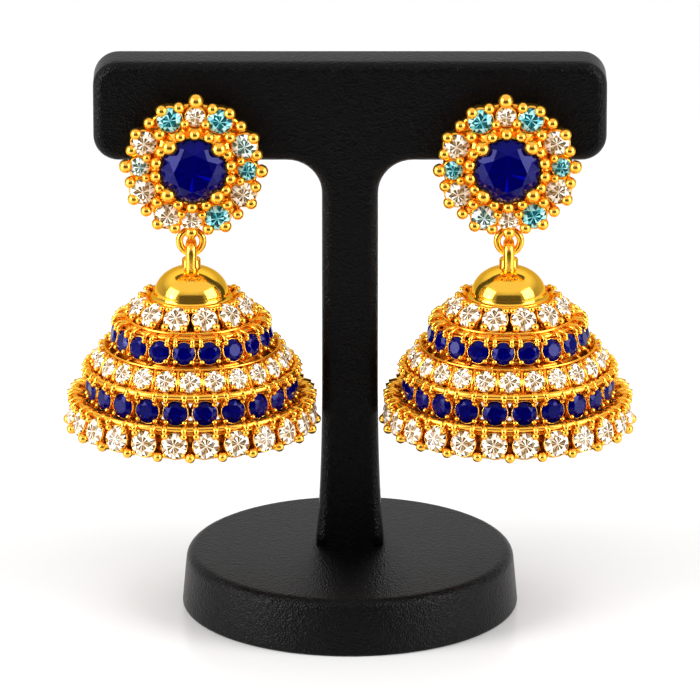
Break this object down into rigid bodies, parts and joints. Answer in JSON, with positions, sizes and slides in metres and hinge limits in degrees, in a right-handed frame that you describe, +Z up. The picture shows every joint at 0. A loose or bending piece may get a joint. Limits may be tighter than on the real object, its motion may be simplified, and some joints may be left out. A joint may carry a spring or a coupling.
{
  "type": "jhumka earring pair on t-bar display stand",
  "caption": "Pair of gold bell-shaped jhumka earrings set with blue, aqua and clear stones, pinned on a black T-bar display stand with a round base.",
  "frame": {"origin": "centre of the stand base's underside", "axes": "+Z up, -Y towards the viewer, +X to the viewer's right along the bar"},
  "size_m": [0.0846, 0.0506, 0.0845],
  "materials": {
    "gold": "polished gold plate",
    "sapphire": "faceted, foil-backed",
    "crystal": "faceted, foil-backed",
    "aqua": "faceted, foil-backed",
    "black_skin": "fine-grained, satin"
  },
  "bodies": {
    "stand": {"stand_base": "black_skin", "stand_t_bar": "black_skin", "left_stud_setting": "gold", "left_centre_stone": "sapphire", "left_ear_nut": "gold", "left_accent_stone_01": "aqua", "left_accent_stone_02": "crystal", "left_accent_stone_03": "aqua", "left_accent_stone_04": "crystal", "left_accent_stone_05": "aqua", "left_accent_stone_06": "crystal", "left_accent_stone_07": "crystal", "left_accent_stone_08": "crystal", "left_accent_stone_09": "crystal", "left_accent_stone_10": "crystal", "left_accent_stone_11": "aqua", "left_accent_stone_12": "crystal", "right_stud_setting": "gold", "right_centre_stone": "sapphire", "right_ear_nut": "gold", "right_accent_stone_01": "aqua", "right_accent_stone_02": "crystal", "right_accent_stone_03": "aqua", "right_accent_stone_04": "crystal", "right_accent_stone_05": "aqua", "right_accent_stone_06": "crystal", "right_accent_stone_07": "aqua", "right_accent_stone_08": "crystal", "right_accent_stone_09": "aqua", "right_accent_stone_10": "crystal", "right_accent_stone_11": "aqua", "right_accent_stone_12": "crystal"},
    "left_drop": {"left_dome_cap": "gold", "left_bell": "gold"},
    "right_drop": {"right_dome_cap": "gold", "right_bell": "gold"}
  },
  "joints": [
    {"name": "left_drop_swing", "type": "hinge", "parent": "stand", "child": "left_drop", "pos_m": [-0.0237, -0.0016, 0.05566], "axis": [1, 0, 0], "range_deg": [-40, 40]},
    {"name": "right_drop_swing", "type": "hinge", "parent": "stand", "child": "right_drop", "pos_m": [0.0237, -0.0016, 0.05565], "axis": [1, 0, 0], "range_deg": [-40, 40]}
  ]
}
